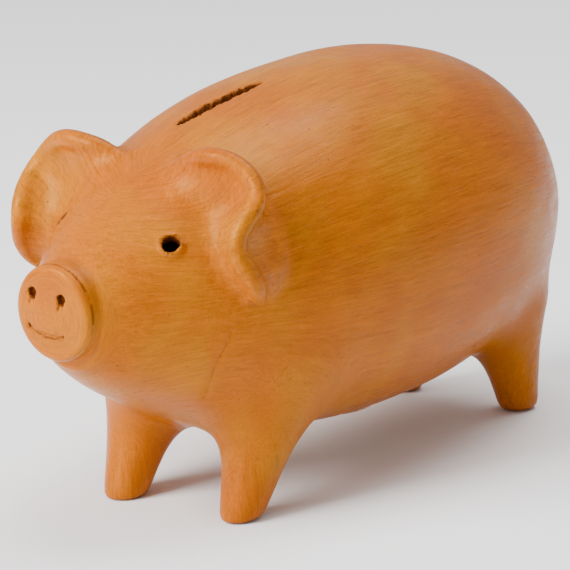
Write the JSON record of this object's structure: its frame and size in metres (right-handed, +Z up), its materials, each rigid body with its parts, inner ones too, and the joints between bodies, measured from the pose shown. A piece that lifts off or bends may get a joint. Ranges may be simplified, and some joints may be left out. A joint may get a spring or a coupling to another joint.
{
  "type": "piggy bank",
  "caption": "Hand-built burnished earthenware pig coin bank with a slot in its back, pierced eyes, cupped ears, tapered legs and a cork belly stopper.",
  "frame": {"origin": "centre of the whole pig's bounding box in X and Y, on the floor plane under its feet", "axes": "+Z up, the pig looks along -Y, its own left side is +X, and Y is its length"},
  "size_m": [0.1146, 0.224, 0.1294],
  "materials": {
    "burnished_clay": "hand-burnished, unglazed, soft sheen",
    "snout_clay": "hand-burnished, unglazed, slightly duller",
    "cork": "matte cork"
  },
  "bodies": {
    "bank": {"body_shell": "burnished_clay", "head_shell": "burnished_clay", "snout_disc": "snout_clay", "ear_left": "burnished_clay", "ear_right": "burnished_clay", "leg_front_left": "burnished_clay", "leg_front_right": "burnished_clay", "leg_rear_left": "burnished_clay", "leg_rear_right": "burnished_clay", "tail": "burnished_clay"},
    "stopper": {"belly_stopper": "cork"}
  },
  "joints": [
    {"name": "stopper_pull", "type": "slide", "parent": "bank", "child": "stopper", "axis": [0, 0, -1], "range_m": [0, 0.02]}
  ]
}
